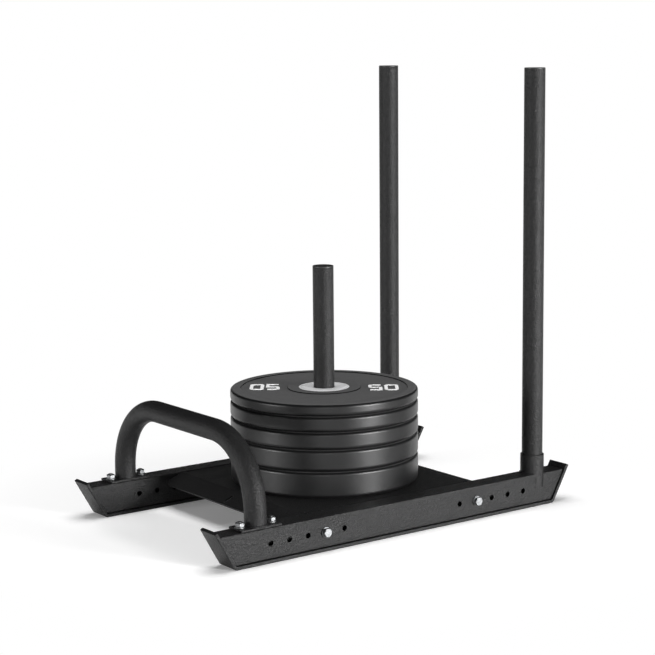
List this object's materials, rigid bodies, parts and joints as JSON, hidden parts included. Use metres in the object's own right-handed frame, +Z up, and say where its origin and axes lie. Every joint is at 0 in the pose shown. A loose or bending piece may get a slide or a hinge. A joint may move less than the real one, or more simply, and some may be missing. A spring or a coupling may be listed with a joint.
{
  "type": "weight sled",
  "caption": "Push sled on two box-tube runners with upright push poles, a low bent-tube handle, and a folded pan whose upright pin carries a stack of round bumper plates",
  "frame": {"origin": "On the floor, straight below the axis of the weight pin, halfway between the two runners", "axes": "+X runs along the runners from the low handle to the push poles, +Y across the sled to its right side as seen by someone pushing at the poles and facing the low handle, +Z up"},
  "size_m": [1.0292, 0.6254, 1.0526],
  "materials": {
    "powder_coat": "black powder coat, fine texture",
    "pan_coat": "black powder coat, smoother and darker",
    "cap_plastic": "moulded black, matte",
    "rubber": "moulded, matte",
    "hub_steel": "turned and plated, satin",
    "zinc": "bright zinc plated"
  },
  "bodies": {
    "sled_frame": {"left_runner": "powder_coat", "right_runner": "powder_coat", "left_skid": "powder_coat", "right_skid": "powder_coat", "left_pole_socket": "powder_coat", "right_pole_socket": "powder_coat", "low_handle": "powder_coat", "left_handle_foot": "powder_coat", "right_handle_foot": "powder_coat", "weight_pin": "powder_coat", "base_pan": "pan_coat", "pin_base_plate": "pan_coat", "pin_cap": "cap_plastic", "left_handle_front_stud": "zinc", "left_handle_front_washer": "zinc", "left_handle_front_nut": "zinc", "left_handle_rear_stud": "zinc", "left_handle_rear_washer": "zinc", "left_handle_rear_nut": "zinc", "right_handle_front_stud": "zinc", "right_handle_front_washer": "zinc", "right_handle_front_nut": "zinc", "right_handle_rear_stud": "zinc", "right_handle_rear_washer": "zinc", "right_handle_rear_nut": "zinc", "left_pan_front_bolt": "zinc", "left_pan_front_outer_washer": "zinc", "left_pan_front_inner_washer": "zinc", "left_pan_front_nut": "zinc", "left_pan_rear_bolt": "zinc", "left_pan_rear_outer_washer": "zinc", "left_pan_rear_inner_washer": "zinc", "left_pan_rear_nut": "zinc", "right_pan_front_bolt": "zinc", "right_pan_front_outer_washer": "zinc", "right_pan_front_inner_washer": "zinc", "right_pan_front_nut": "zinc", "right_pan_rear_bolt": "zinc", "right_pan_rear_outer_washer": "zinc", "right_pan_rear_inner_washer": "zinc", "right_pan_rear_nut": "zinc", "pin_washer": "zinc", "pin_bolt": "zinc"},
    "left_pole": {"left_push_pole": "powder_coat", "left_pole_cap": "cap_plastic"},
    "right_pole": {"right_push_pole": "powder_coat", "right_pole_cap": "cap_plastic"},
    "plate_25": {"plate_25_rubber": "rubber", "plate_25_hub": "hub_steel"},
    "plate_20": {"plate_20_rubber": "rubber", "plate_20_hub": "hub_steel"},
    "plate_15": {"plate_15_rubber": "rubber", "plate_15_hub": "hub_steel"},
    "plate_10": {"plate_10_rubber": "rubber", "plate_10_hub": "hub_steel"},
    "plate_05": {"plate_05_rubber": "rubber", "plate_05_hub": "hub_steel"}
  },
  "joints": [
    {"name": "left_pole_lift", "type": "slide", "parent": "sled_frame", "child": "left_pole", "axis": [0, 0, 1], "range_m": [0, 0.09]},
    {"name": "right_pole_lift", "type": "slide", "parent": "sled_frame", "child": "right_pole", "axis": [0, 0, 1], "range_m": [0, 0.09]},
    {"name": "plate_25_lift", "type": "slide", "parent": "sled_frame", "child": "plate_25", "axis": [0, 0, 1], "range_m": [0, 0.52]},
    {"name": "plate_20_lift", "type": "slide", "parent": "plate_25", "child": "plate_20", "axis": [0, 0, 1], "range_m": [0, 0.46]},
    {"name": "plate_15_lift", "type": "slide", "parent": "plate_20", "child": "plate_15", "axis": [0, 0, 1], "range_m": [0, 0.41]},
    {"name": "plate_10_lift", "type": "slide", "parent": "plate_15", "child": "plate_10", "axis": [0, 0, 1], "range_m": [0, 0.37]},
    {"name": "plate_05_lift", "type": "slide", "parent": "plate_10", "child": "plate_05", "axis": [0, 0, 1], "range_m": [0, 0.33]}
  ]
}
